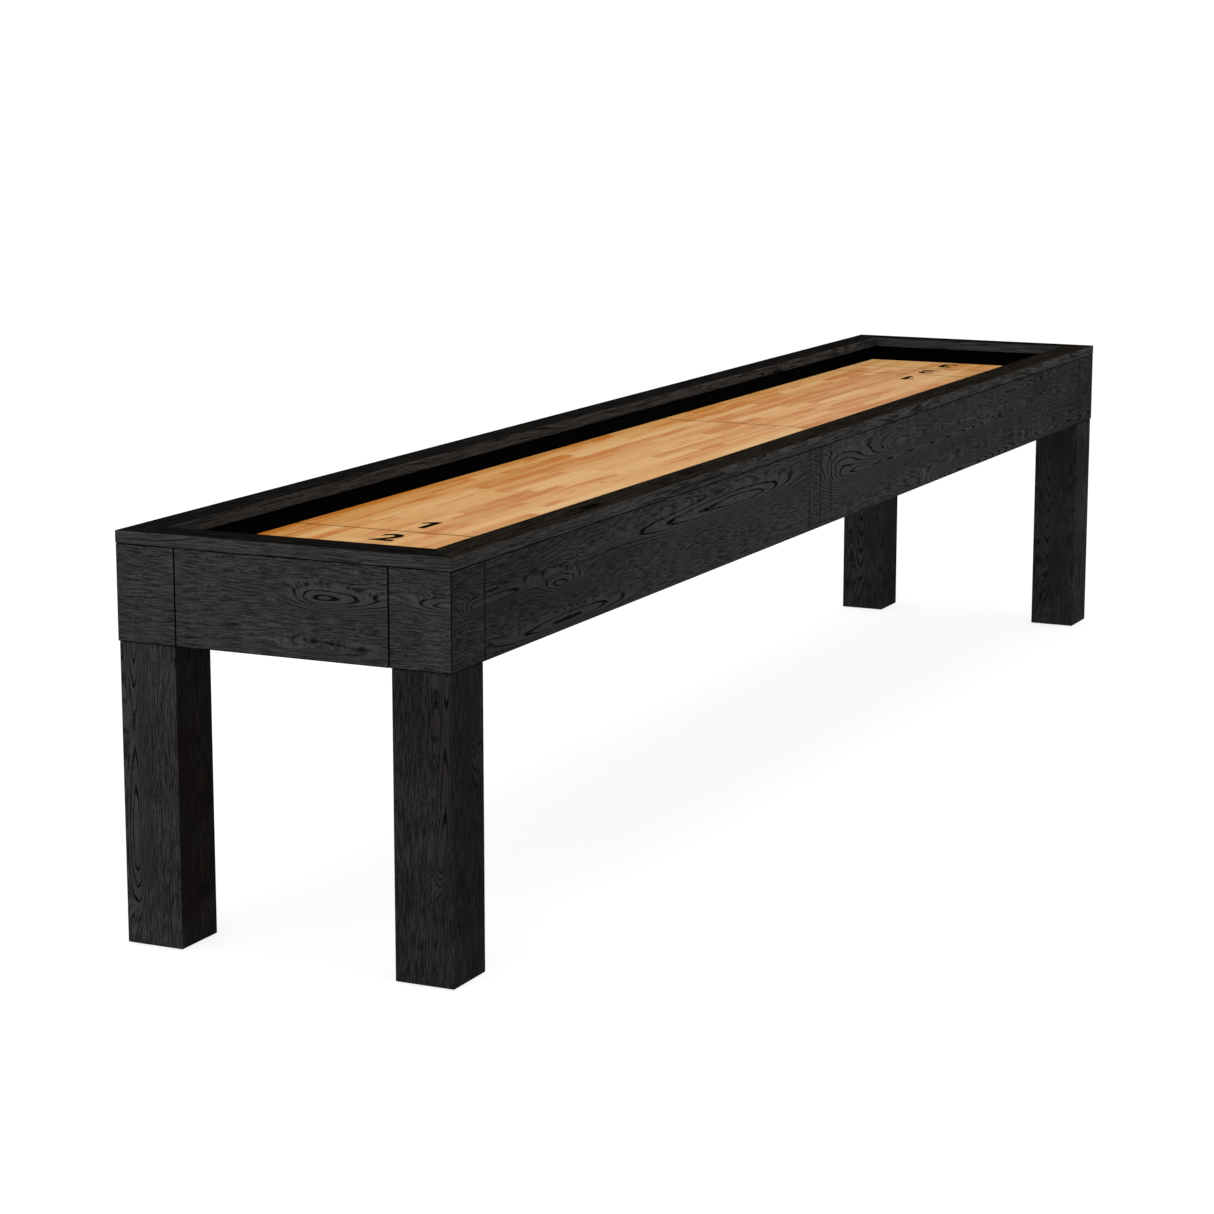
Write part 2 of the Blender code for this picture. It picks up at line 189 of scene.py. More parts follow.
def oak(along, across, into, hearts, seed):
    """How much of the wood the black pores take, 0 to 1, on flat-sawn oak.

    Each heart is a place where the rings swell towards the face: where it is along the board
    and across it, how far it reaches back and forward along the board, half its height, and
    how far it swells, all in metres. Its rings close into ovals, and run out in a point on
    the longer reach.
    """
    # the log's slow drift, a fine quiver and the hearts bend the rings
    drift = cloud(along * 1.4 + seed, across * 8.0, into * 8.0) - 0.5
    quiver = cloud(along * 13.0, across * 70.0 + seed, into * 70.0, 3.0) - 0.5
    swell = drift * 0.040 + quiver * 0.0030
    heartwood = (drift + 0.10).step(0.0, 0.30) * 0.24
    for start, centre, back, forward, half, lift in hearts:
        reach = along - start
        reach = (reach * (1 / forward)).most(reach * (-1 / back))
        rise = (across - centre) * (1 / half)
        bulge = rise.maths("EXPONENT", (reach * reach + rise * rise) * -1.0)
        swell = swell + bulge * lift
        heartwood = heartwood.most(bulge.step(0.02, 0.5) * min(1.0, lift * 40.0))
    # early wood, once a ring, is where the big pores crowd into a vein
    rings = (across * 0.45 + into * 0.85 + swell) * (1 / RING)
    early = abs(rings.fraction() * 2.0 - 1.0)
    # elsewhere the pores are short dashes that lie along the grain
    lie = across * 0.8 + into + swell
    ragged = cloud(along * 24.0 + seed, lie * 560.0, into * 80.0, 4.0, 0.66)
    pores = cloud(along * 110.0, lie * 1700.0 + seed, into * 110.0, 2.0, 0.6)
    vein = (early + (ragged - 0.5) * 0.8).step(0.68, 0.90)
    dashes = (ragged + (pores - 0.5) * 0.4).step(0.46, 0.57)
    plain = 1.0 - heartwood * 0.65
    return vein * heartwood * 0.86 + dashes * plain * 0.68 + pores.step(0.48, 0.70) * 0.20


def stain(shader, dark, depth_and_shade, where, light=CHARCOAL, deep=UMBER):
    """Charcoal wood with black pores. Its depth, 0 to 1, takes it from the light colour to the
    deep, and also carries the painted shade that callers set by face and place.
    """
    x, y, z = where
    patchy = cloud(x * 3.5, y * 9.0, z * 9.0, 3.0) - 0.5
    wood = (patchy * 0.7 + depth_and_shade).step(-0.25, 1.25).paint(light, deep)
    feed(shader, "Base Color", dark.paint(wood, PORE_BLACK))
    feed(shader, "Roughness", dark * 0.20 + 0.56)
    relief(shader, 1.0 - dark, 0.0005)


def coat(node, material):
    """Gives a carried-over node its one finish."""
    nodes[node].data.materials.clear()
    nodes[node].data.materials.append(material)


def chance_hearts(chance, low, high, across_low, across_high, count):
    """Hearts scattered along a board that no one has looked at closely."""
    return [(chance.uniform(low, high), chance.uniform(across_low, across_high),
             chance.uniform(0.04, 0.14), chance.uniform(0.15, 0.60),
             chance.uniform(0.018, 0.032), chance.uniform(0.035, 0.070))
            for number in range(count)]


FACE_APART = 10.0  # sets a leg's side faces apart from its end faces in one grain pattern
ENDS = {"near": -1, "far": 1}
SIDES = {"left": 1, "right": -1}
# hearts on the end faces, measured up the leg and across the table
LEG_HEARTS = {
    ("near", "left"): [(0.190, 0.319, 0.12, 0.22, 0.020, 0.046),
                       (0.620, 0.316, 0.17, 0.10, 0.018, 0.050)],
    ("near", "right"): [(0.231, -0.323, 0.045, 0.050, 0.013, 0.034),
                        (0.300, -0.336, 0.060, 0.22, 0.020, 0.040),
                        (0.640, -0.341, 0.13, 0.10, 0.016, 0.044)],
    ("far", "left"): [(0.480, 0.290, 0.36, 0.20, 0.028, 0.080)],
    ("far", "right"): [(0.560, -0.272, 0.40, 0.10, 0.026, 0.090)],
}
# how dark the end faces and the side faces of each leg are painted: some stain, and painted shade
# that makes the less lit faces darker
LEG_STAIN_AND_SHADE = {("near", "left"): (0.40, 0.98), ("near", "right"): (0.70, 0.78),
             ("far", "left"): (0.60, 0.70), ("far", "right"): (0.60, 0.44)}

for end in ENDS:
    for side in SIDES:
        node = f"leg_{end}_{side}"
        low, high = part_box(node)
        middle = (low + high) / 2
        oak_leg, shader, where, faces = new_finish(f"oak_{node}", 0.6, 0.0)
        x, y, z = where
        end_face = abs(x - middle.x).above(abs(y - middle.y))
        across = end_face.pick(x + FACE_APART, y)
        into = end_face.pick(y, x)
        chance = random.Random(node)
        hearts = LEG_HEARTS[end, side] + [
            (up, x_across + FACE_APART, back, forward, half * 0.7, lift)
            for up, x_across, back, forward, half, lift
            in chance_hearts(chance, low.z, high.z, low.x, high.x, 2)]
        dark = oak(z, across, into, hearts, chance.uniform(0.0, 50.0))
        # painted shade: each leg's end and side faces are painted as dark as the light on them
        stain(shader, dark, end_face.pick(*reversed(LEG_STAIN_AND_SHADE[end, side])), where)
        coat(node, oak_leg)

# ---- levellers ----------------------------------------------------------------------------
# Under each leg a zinc-plated screw with a hexagon for the spanner turns in a barbed insert
# pressed into the leg's foot, and a black nylon pad swivels on its lower end. The screw's M10
# thread shows when it is wound out.
M10_RADIUS = 0.005
M10_PITCH = 0.0015
HEX_HEIGHT = 0.006
INSERT_BORE = 0.0053
BARBS = 5
THREAD_FACETS = 14
ROUND_STEPS = 40


def metal(name, shade, roughness):
    """Bright zinc on steel: faint streaks from the plating, and duller handling marks."""
    material, shader, (x, y, z), faces = new_finish(name, roughness, 0.5, 1.0)
    mottle = cloud(x * 160.0, y * 160.0, z * 160.0, 4.0, 0.6)
    scuff = cloud(x * 900.0, y * 900.0, z * 260.0, 3.0, 0.7)
    dull = [part * 0.72 for part in shade[:3]] + [1.0]
    feed(shader, "Base Color", mottle.step(0.35, 0.65).paint(dull, shade))
    feed(shader, "Roughness", mottle * 0.25 + scuff * 0.20 + (roughness - 0.20))
    relief(shader, scuff, 0.00005)
    return material


def lathe(bm, profile, steps=ROUND_STEPS):
    """Turns a profile of (radius, height) points about the Z axis."""
    verts = [bm.verts.new((radius, 0.0, height)) for radius, height in profile]
    edges = [bm.edges.new(pair) for pair in zip(verts, verts[1:])]
    bmesh.ops.spin(bm, geom=verts + edges, cent=(0, 0, 0), axis=(0, 0, 1),
                   angle=2 * math.pi, steps=steps, use_merge=True)
    bmesh.ops.remove_doubles(bm, verts=bm.verts, dist=0.000001)


def hexagon(bm, flats, bottom, top, chamfer=0.0008):
    """A bolt head or nut whose corners are chamfered at both ends."""
    made = bmesh.ops.create_cone(bm, cap_ends=True, segments=6, radius1=flats / math.sqrt(3.0),
                                 radius2=flats / math.sqrt(3.0), depth=top - bottom,
                                 matrix=Matrix.Translation((0, 0, (bottom + top) / 2)))
    rims = {edge for vert in made["verts"] for edge in vert.link_edges
            if abs(edge.verts[0].co.z - edge.verts[1].co.z) < 0.00001}
    bmesh.ops.bevel(bm, geom=list(rims), offset=chamfer, affect="EDGES", segments=2,
                    profile=0.5, material=-1)


def thread(bm, radius, pitch, bottom, top):
    """A screw thread on the Z axis: a core, and one ridge wound up round it."""
    depth = pitch * 0.60
    turns = int((top - bottom) / pitch) - 1
    lathe(bm, [(0.0, bottom), (radius - depth, bottom), (radius - depth * 0.95, bottom + pitch),
               (radius - depth * 0.95, top - pitch), (radius - depth, top), (0.0, top)])
    ridge = [(radius - depth, -0.46), (radius, -0.08), (radius, 0.08), (radius - depth, 0.46)]
    verts = [bm.verts.new((out, 0.0, bottom + pitch * (up + 0.5))) for out, up in ridge]
    start = bm.faces.new(verts)
    bmesh.ops.spin(bm, geom=[start], cent=(0, 0, 0), axis=(0, 0, 1),
                   dvec=(0, 0, pitch / THREAD_FACETS), angle=2 * math.pi * turns,
                   steps=THREAD_FACETS * turns, use_merge=False)
    bmesh.ops.holes_fill(bm, edges=[edge for edge in bm.edges if edge.is_boundary], sides=0)


def piece(name, bm, material, body, replaces=(), smooth=35.0):
    """Makes a finished piece of a bmesh, rides it on a body, and stands it in for CAD nodes."""
    bmesh.ops.recalc_face_normals(bm, faces=bm.faces)
    mesh = bpy.data.meshes.new(name)
    bm.to_mesh(mesh)
    bm.free()
    mesh.materials.append(material)
    mesh.shade_smooth()
    mesh.set_sharp_from_angle(angle=math.radians(smooth))
    made = bpy.data.objects.new(name, mesh)
    bpy.context.scene.collection.objects.link(made)
    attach(made, body)
    if replaces:
        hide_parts(*replaces)


zinc = metal("zinc_plate", card(196, 197, 192), 0.38)
nylon, shader, (x, y, z), faces = new_finish("black_nylon", 0.45, 0.4)
grit = cloud(x * 1400.0, y * 1400.0, z * 1400.0, 3.0)
feed(shader, "Base Color", grit.step(0.3, 0.7).paint(card(24, 24, 25), card(38, 38, 39)))
feed(shader, "Roughness", grit * 0.30 + 0.32)
relief(shader, grit, 0.00008)

for end in ENDS:
    for side in SIDES:
        label = f"{end}_{side}"
        low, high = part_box(f"leveller_stem_{label}")
        spot = Vector(((low.x + high.x) / 2, (low.y + high.y) / 2, low.z))
        bm = bmesh.new()
        hexagon(bm, high.y - low.y, 0.0, HEX_HEIGHT)
        thread(bm, M10_RADIUS, M10_PITCH, HEX_HEIGHT - 0.0005, high.z - low.z)
        bmesh.ops.translate(bm, vec=spot, verts=bm.verts)
        piece(f"leveller_screw_{label}", bm, zinc, f"stem_{label}",
              [f"leveller_stem_{label}"])

        low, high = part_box(f"leveller_pad_{label}")
        radius, height = (high.x - low.x) / 2, high.z - low.z
        bm = bmesh.new()
        lathe(bm, [(0.0, height), (radius * 0.34, height), (radius * 0.36, height * 0.94),
                   (radius * 0.70, height * 0.92), (radius * 0.94, height * 0.64),
                   (radius * 0.99, height * 0.52), (radius, height * 0.40),
                   (radius, height * 0.22), (radius * 0.985, height * 0.08),
                   (radius * 0.95, 0.0), (radius * 0.78, 0.0), (radius * 0.74, height * 0.05),
                   (0.0, height * 0.05)], 48)
        bmesh.ops.translate(bm, vec=((low.x + high.x) / 2, (low.y + high.y) / 2, low.z),
                            verts=bm.verts)
        piece(f"leveller_foot_{label}", bm, nylon, f"pad_{label}",
              [f"leveller_pad_{label}"])

        low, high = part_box(f"leveller_insert_{label}")
        radius, height = (high.x - low.x) / 2, high.z - low.z
        barb_step = height / (BARBS + 1)
        barbs = [(INSERT_BORE, height), (radius * 0.86, height)]
        for barb in range(BARBS, 0, -1):
            barbs += [(radius, barb_step * (barb - 0.15)),
                      (radius * 0.86, barb_step * (barb - 0.85))]
        barbs += [(radius, 0.0006), (radius, 0.0), (INSERT_BORE + 0.0005, 0.0),
                  (INSERT_BORE, 0.0005), (INSERT_BORE, height)]
        bm = bmesh.new()
        lathe(bm, barbs)
        bmesh.ops.translate(bm, vec=((low.x + high.x) / 2, (low.y + high.y) / 2, low.z),
                            verts=bm.verts)
        piece(f"barbed_insert_{label}", bm, zinc, "table",
              [f"leveller_insert_{label}"])

# ---- cabinet ------------------------------------------------------------------------------
# Corner posts, aprons and the narrow blocks at the seam are all cut from the same wide boards
# and set back in order, so the grain runs on from one to the next across the saw kerfs. The
# posts are mitred on their outer corner. The kerfs and broken edges are painted black as painted
# shade, the end and side faces are painted lighter or darker as painted light, and the sides are
# painted darker away from a painted pool of light near the middle.
# hearts, measured along the table or across it, and up
SIDE_HEARTS = {
    "right": [(-1.490, 0.672, 0.09, 0.10, 0.018, 0.042), (-1.840, 0.688, 0.05, 0.26, 0.016, 0.035),
              (-1.450, 0.600, 0.30, 0.25, 0.016, 0.030), (-0.640, 0.712, 0.60, 0.32, 0.024, 0.040),
              (-0.025, 0.690, 0.13, 0.26, 0.050, 0.062), (0.300, 0.680, 0.25, 0.70, 0.018, 0.075),
              (0.800, 0.588, 0.26, 0.45, 0.026, 0.085),
              (1.160, 0.742, 0.08, 0.30, 0.014, 0.040), (1.190, 0.690, 0.05, 0.10, 0.009, 0.022),
              (1.630, 0.676, 0.06, 0.10, 0.012, 0.030), (1.640, 0.600, 0.25, 0.30, 0.016, 0.045)],
    "left": chance_hearts(random.Random(7), -1.9, 1.9, 0.59, 0.76, 11),
}
END_HEARTS = {
    "near": [(-0.084, 0.696, 0.13, 0.062, 0.020, 0.036), (-0.350, 0.702, 0.10, 0.075, 0.015, 0.030),
             (-0.060, 0.604, 0.16, 0.10, 0.014, 0.011)],
    "far": chance_hearts(random.Random(4), -0.30, 0.30, 0.60, 0.75, 4),
}
half_length, half_width = cad_box[1][0], cad_box[1][1]
SKIN, KERF_DEPTH = 0.0002, 0.006  # an upright face between these depths is inside a kerf
SQUARE_ON = 0.9  # a face that points less squarely along an axis than this is a broken edge
# how deep the end and side faces are painted: stain, and painted light and shade that set the end
# faces apart from the sides
END_STAIN_AND_SHADE, SIDE_STAIN_AND_SHADE, PAINTED_SHADE_SPREAD = 0.24, 0.05, 0.12
PAINTED_LIGHT_CENTRE = 0.15  # where along the sides the painted light is brightest; painted shade darkens them towards both ends


def near_enough(hearts, low, high):
    """The hearts whose swelling reaches a stretch of the board."""
    return [heart for heart in hearts
            if heart[0] + 2.2 * heart[3] > low and heart[0] - 2.2 * heart[2] < high]


def dress_cabinet(node, end, side):
    """Cabinet oak for one node. End and side are the boards that it was cut from."""
    low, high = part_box(node)
    finish, shader, where, faces = new_finish(f"oak_{node}", 0.6, 0.0)
    x, y, z = where
    from_end, from_side = half_length - abs(x), half_width - abs(y)
    end_board = from_side.above(from_end)
    along = end_board.pick(x, y + FACE_APART)
    depth = end_board.pick(from_side, from_end)
    hearts = near_enough(SIDE_HEARTS[side], low.x, high.x) if side else []
    if end:
        hearts = hearts + [(place + FACE_APART, *rest) for place, *rest
                           in near_enough(END_HEARTS[end], low.y, high.y)]
    dark = oak(along, z, depth, hearts, 3.0 if side == "right" else 11.0)
    level = faces[0].most(faces[1]).most(faces[2])
    upright = 1.0 - faces[2].above(SQUARE_ON)
    kerf = depth.above(SKIN) * upright * (KERF_DEPTH - depth).above(0.0)
    # painted shade: faces inside the kerfs and on the broken edges are painted black
    dark = dark.most(kerf).most((SQUARE_ON - level).above(0.0))
    # painted shade: the sides are painted darker the further they are from a painted pool of light
    off = x - PAINTED_LIGHT_CENTRE
    side_stain_and_shade = off * off * PAINTED_SHADE_SPREAD + SIDE_STAIN_AND_SHADE
    stain(shader, dark, faces[1].pick(END_STAIN_AND_SHADE, side_stain_and_shade), where)
    coat(node, finish)


for end in ENDS:
    dress_cabinet(f"end_apron_{end}", end, None)
    for side in SIDES:
        dress_cabinet(f"corner_post_{end}_{side}", end, side)
        dress_cabinet(f"side_apron_{end}_{side}", None, side)
        dress_cabinet(f"joint_block_{end}_{side}", None, side)

# ---- gutter floors, bulkheads and cleats ---------------------------------------------------
# The floor of each half is a plywood panel, black carpet glued on top and black paint below.
# Two stained bulkheads back to back at the seam, and a cleat under each end of the board,
# carry the playfield clear of it.


def carpet(name, panel_top=None):
    """Black looped pile. Below panel_top it gives way to painted plywood."""
    material, shader, (x, y, z), faces = new_finish(name, 0.95, 0.05)
    loops = x.node("TexVoronoi", None,
                   {"Vector": x.node("CombineXYZ", None, {0: x, 1: y, 2: z}), "Scale": 620.0})
    fluff = cloud(x * 45.0, y * 45.0, z * 45.0, 4.0, 0.7)
    pile = loops.step(0.0, 0.8) * 0.6 + fluff * 0.4
    black = pile.paint(card(8, 7.5, 7.5), card(2, 2, 2))
    if panel_top is None:
        feed(shader, "Base Color", black)
        relief(shader, 1.0 - pile, 0.0008)
        return material
    top_face = z.above(panel_top - 0.0004)
    brush = cloud(x * 9.0, y * 220.0, z * 220.0, 4.0, 0.6)
    painted = brush.step(0.35, 0.70).paint(card(30, 29, 28), card(44, 42, 40))
    plies = (z * 520.0).fraction().above(0.5)
    edge = plies.paint(card(58, 46, 36), card(34, 27, 22))
    board = faces[2].above(0.5).paint(edge, painted)
    feed(shader, "Base Color", top_face.paint(board, black))
    feed(shader, "Roughness", top_face.pick(brush * 0.25 + 0.45, 0.95))
    relief(shader, top_face.pick(brush * 0.25, 1.0 - pile), 0.0008)
    return material


for end in ENDS:
    node = f"gutter_floor_{end}"
    coat(node, carpet(f"carpet_{node}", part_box(node)[1].z))
    for node in (f"bulkhead_{end}", f"playfield_cleat_{end}"):
        low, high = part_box(node)
        finish, shader, where, faces = new_finish(f"oak_{node}", 0.6, 0.0)
        x, y, z = where
        chance = random.Random(node)
        hearts = chance_hearts(chance, low.y, high.y, low.z, high.z, 2)
        stain(shader, oak(y, z, x, hearts, chance.uniform(0.0, 50.0)), faces[2] * 0.4 + 0.3, where)
        coat(node, finish)

# ---- bolts --------------------------------------------------------------------------------
# A long M10 bolt goes down through the gutter floor into each leg, and two through bolts with
# nuts pull the bulkheads together at the seam. They are zinc-plated, with a washer face
# turned under the head.
BOLT_HEAD = 0.0065
LEG_BOLT_SHANK = 0.070  # the plain part under the head


def bolt(bm, flats, head, shank_end, thread_end, washer=0.0004):
    """A hexagon bolt, its head standing on the plane through the origin, shank downwards."""
    hexagon(bm, flats, washer, head)
    lathe(bm, [(0.0, 0.0), (flats * 0.47, 0.0), (flats * 0.47, washer * 1.5), (0.0, washer * 1.5)])
    lathe(bm, [(0.0, 0.0002), (M10_RADIUS, 0.0002), (M10_RADIUS, -shank_end), (0.0, -shank_end)])
    thread(bm, M10_RADIUS, M10_PITCH, -thread_end, -shank_end + 0.0002)


for end in ENDS:
    for side in SIDES:
        node = f"leg_bolt_{end}_{side}"
        low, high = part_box(node)
        bm = bmesh.new()
        bolt(bm, high.y - low.y, BOLT_HEAD, LEG_BOLT_SHANK, high.z - low.z - BOLT_HEAD)
        spot = ((low.x + high.x) / 2, (low.y + high.y) / 2, high.z - BOLT_HEAD)
        bmesh.ops.translate(bm, vec=spot, verts=bm.verts)
        piece(f"hex_bolt_{end}_{side}", bm, zinc, "table", [node])

for side in SIDES:
    node = f"joining_bolt_{side}"
    low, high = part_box(node)
    flats, length = high.y - low.y, high.x - low.x
    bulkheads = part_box("bulkhead_far")[1].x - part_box("bulkhead_near")[0].x
    bm = bmesh.new()
    bolt(bm, flats, BOLT_HEAD, bulkheads * 0.5, length - BOLT_HEAD)
    hexagon(bm, flats, -bulkheads - BOLT_HEAD - 0.0003, -bulkheads - 0.0003)
    bmesh.ops.rotate(bm, cent=(0, 0, 0), matrix=Matrix.Rotation(-math.pi / 2, 3, "Y"),
                     verts=bm.verts)
    spot = (low.x + BOLT_HEAD, (low.y + high.y) / 2, (low.z + high.z) / 2)
    bmesh.ops.translate(bm, vec=spot, verts=bm.verts)
    piece(f"through_bolt_{side}", bm, zinc, "table", [node])

# ---- gutter walls -------------------------------------------------------------------------
# Thin boards with the same black carpet wrapped over them line the gutter all round. Stray
# discs come to rest against them.
for place in (*ENDS, *SIDES):
    node = f"gutter_wall_{place}"
    coat(node, carpet(f"carpet_{node}"))

# ---- climatic adjusters --------------------------------------------------------------------
# Two steel angles are screwed up under the playfield at each adjuster. A tension screw across
# them, turned through the hole in the gutter floor, bows the board a hair to keep it level.
ROD_RADIUS = 0.006
ROD_PITCH = 0.00175
ROD_HEAD = 0.008
ROD_PLAIN = 0.55  # the share of the screw's length that has no thread
for end in ENDS:
    for side, y_sign in SIDES.items():
        node = f"adjuster_bracket_{end}_{side}"
        coat(node, zinc)
        low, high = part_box(node)
        under = high.z - 0.005
        for number, along in enumerate((0.2, 0.8)):
            bm = bmesh.new()
            hexagon(bm, 0.008, -0.0046, -0.0010, 0.0004)
            lathe(bm, [(0.0, -0.0001), (0.0062, -0.0001), (0.0062, -0.0010), (0.0050, -0.0014),
                       (0.0, -0.0014)], 24)
            inner = (low.y + high.y) / 2 - y_sign * 0.006
            spot = (low.x + (high.x - low.x) * along, inner, under)
            bmesh.ops.translate(bm, vec=spot, verts=bm.verts)
            piece(f"bracket_screw_{end}_{side}_{number}", bm, zinc, "table")

    node = f"adjuster_screw_{end}"
    low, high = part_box(node)
    length = high.y - low.y
    bm = bmesh.new()
    hexagon(bm, high.x - low.x, 0.0, ROD_HEAD)
    plain = -length * ROD_PLAIN
    lathe(bm, [(0.0, 0.0002), (ROD_RADIUS, 0.0002), (ROD_RADIUS, plain), (0.0, plain)])
    thread(bm, ROD_RADIUS, ROD_PITCH, ROD_HEAD - length, plain + 0.0002)
    bmesh.ops.rotate(bm, cent=(0, 0, 0), matrix=Matrix.Rotation(math.pi / 2, 3, "X"),
                     verts=bm.verts)
    bmesh.ops.translate(bm, vec=((low.x + high.x) / 2, low.y + ROD_HEAD, (low.z + high.z) / 2),
                        verts=bm.verts)
    piece(f"tension_screw_{end}", bm, zinc, f"screw_{end}", [node])

# ---- playfield ----------------------------------------------------------------------------
# A butcher-block board of hard maple: narrow strips on edge, each glued up from blocks of
# random length, with some amber heartwood among them, under a hard satin clear finish. The
# cross lines and numbers are printed on it under that finish.
STRIPS = 18
SHORTEST_BLOCK, BLOCK_SPREAD = 0.26, 0.30
low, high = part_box("playfield")
strip_width = (high.y - low.y) / STRIPS
maple, shader, where, faces = new_finish("maple_playfield", 0.30, 0.02)
x, y, z = where
strip = (y - low.y) * (1 / strip_width)
number = strip.whole()
chance = number.node("TexWhiteNoise", {"noise_dimensions": "1D"}, {"W": number + 0.37})
run = (x + chance * 7.0) / (chance * BLOCK_SPREAD + SHORTEST_BLOCK)
block = run.whole()
lot = block.node("TexWhiteNoise", {"noise_dimensions": "2D"},
                 {"Vector": block.node("CombineXYZ", None, {0: block, 1: number + 0.5})})
streak = cloud(x * 3.4 + lot * 9.0, y * 44.0, z * 20.0, 4.0, 0.6)
fibre = cloud(x * 9.0 + lot * 5.0, y * 420.0, z * 420.0, 4.0, 0.6)
band = cloud(x * 0.35, y * 9.0 + 4.2, z, 2.0)
HONEY = [(0.00, card(238, 190, 126)), (0.30, card(231, 173, 103)), (0.55, card(221, 155, 82)),
         (0.74, card(210, 147, 74)), (0.88, card(203, 130, 46)), (1.00, card(190, 103, 20))]
wood = lot.node("ValToRGB", {"stops": HONEY}, {0: lot * 0.62 + (band - 0.3) * 0.5})
wood = (fibre.step(0.30, 0.75) * 0.16).paint(wood, card(176, 122, 72))
amber = (streak + (lot - 0.5) * 0.16).step(0.525, 0.64)
wood = (amber * 0.78).paint(wood, card(203, 113, 14))
pale = (0.40 - streak).step(0.0, 0.10)
wood = (pale * 0.45).paint(wood, card(236, 192, 134))
glue = abs(strip.fraction() - 0.5).step(0.482, 0.5)
butt = abs(run.fraction() - 0.5).step(0.4975, 0.5)
wood = (glue.most(butt) * 0.35).paint(wood, card(120, 76, 40))
feed(shader, "Base Color", wood)
feed(shader, "Roughness", fibre * 0.14 + 0.27)
relief(shader, 1.0 - glue * 0.6 - fibre * 0.2, 0.00012)
coat("playfield", maple)

ink, shader, (x, y, z), faces = new_finish("printed_black", 0.32, 0.0)
print_grain = cloud(x * 30.0, y * 900.0, z, 3.0)
feed(shader, "Base Color", print_grain.step(0.4, 0.8).paint(card(14, 13, 12), card(34, 27, 22)))
feed(shader, "Roughness", print_grain * 0.2 + 0.25)

PRINT_DEPTH = 0.00015
LINE_WIDTH = 0.0038
LINE_MARGIN = 0.0017  # how far short of the board's long edges a line stops
NUMBER_HEIGHT = 0.078
LINES = {"near_1_2": -1.447, "near_2_3": -1.600, "middle": 0.295, "far_1_2": 1.447,
         "far_2_3": 1.600}


def thicken(bm, height):
    """Raises a flat shape to a thickness."""
    raised = bmesh.ops.extrude_face_region(bm, geom=bm.faces[:])
    tops = [part for part in raised["geom"] if isinstance(part, bmesh.types.BMVert)]
    bmesh.ops.translate(bm, vec=(0, 0, height), verts=tops)


for label, at in LINES.items():
    bm = bmesh.new()
    bmesh.ops.create_grid(bm, x_segments=1, y_segments=50, size=0.5)
    bmesh.ops.scale(bm, vec=(LINE_WIDTH, high.y - low.y - 2 * LINE_MARGIN, 1), verts=bm.verts)
    thicken(bm, PRINT_DEPTH)
    bmesh.ops.translate(bm, vec=(at, 0.0, high.z), verts=bm.verts)
    piece(f"cross_line_{label}", bm, ink, "table")


def place_print(bm, name, x_sign, at):
    """Sets a figure of height 1 flat on the board, to be read from its own end."""
    bmesh.ops.scale(bm, vec=(NUMBER_HEIGHT, NUMBER_HEIGHT, PRINT_DEPTH), verts=bm.verts)
    bmesh.ops.rotate(bm, cent=(0, 0, 0), verts=bm.verts,
                     matrix=Matrix.Rotation(x_sign * math.pi / 2, 3, "Z"))
    bmesh.ops.translate(bm, vec=(x_sign * at, 0.0, high.z), verts=bm.verts)
    piece(name, bm, ink, "table")


NUMBER_X = {"1": 1.363, "2": 1.520, "3": 1.680}
BOLDER = 0.032  # how much each stroke is fattened, in letter heights
# the font's own 1 has no flag, so this outline of height 1 stands in for it
FIGURE_ONE = [(-0.06, -0.5), (0.14, -0.5), (0.14, 0.5), (-0.03, 0.5), (-0.30, 0.30), (-0.30, 0.12),
              (-0.06, 0.26)]
for end, x_sign in ENDS.items():
    for figure, at in NUMBER_X.items():
        if figure == "1":
            bm = bmesh.new()
            bm.faces.new([bm.verts.new((*corner, 0.0)) for corner in FIGURE_ONE])
            thicken(bm, 1.0)
            place_print(bm, f"number_{end}_1", x_sign, at)
            continue
        curve = bpy.data.curves.new(f"number_{figure}", "FONT")
        curve.body = figure
        curve.align_x, curve.align_y = "CENTER", "CENTER"
        curve.offset = BOLDER
        curve.extrude = 0.5
        flat = bpy.data.objects.new(f"number_{figure}", curve)
        bpy.context.scene.collection.objects.link(flat)
        mesh = bpy.data.meshes.new_from_object(flat.evaluated_get(
            bpy.context.evaluated_depsgraph_get()))
        bpy.data.objects.remove(flat)
        bm = bmesh.new()
        bm.from_mesh(mesh)
        bmesh.ops.remove_doubles(bm, verts=bm.verts, dist=0.0001)
        rises = [vert.co.y for vert in bm.verts]
        size = 1 / (max(rises) - min(rises))
        bmesh.ops.translate(bm, vec=(0, -(max(rises) + min(rises)) / 2, 0.5), verts=bm.verts)
        bmesh.ops.scale(bm, vec=(size, size, 1), verts=bm.verts)
        place_print(bm, f"number_{end}_{figure}", x_sign, at)
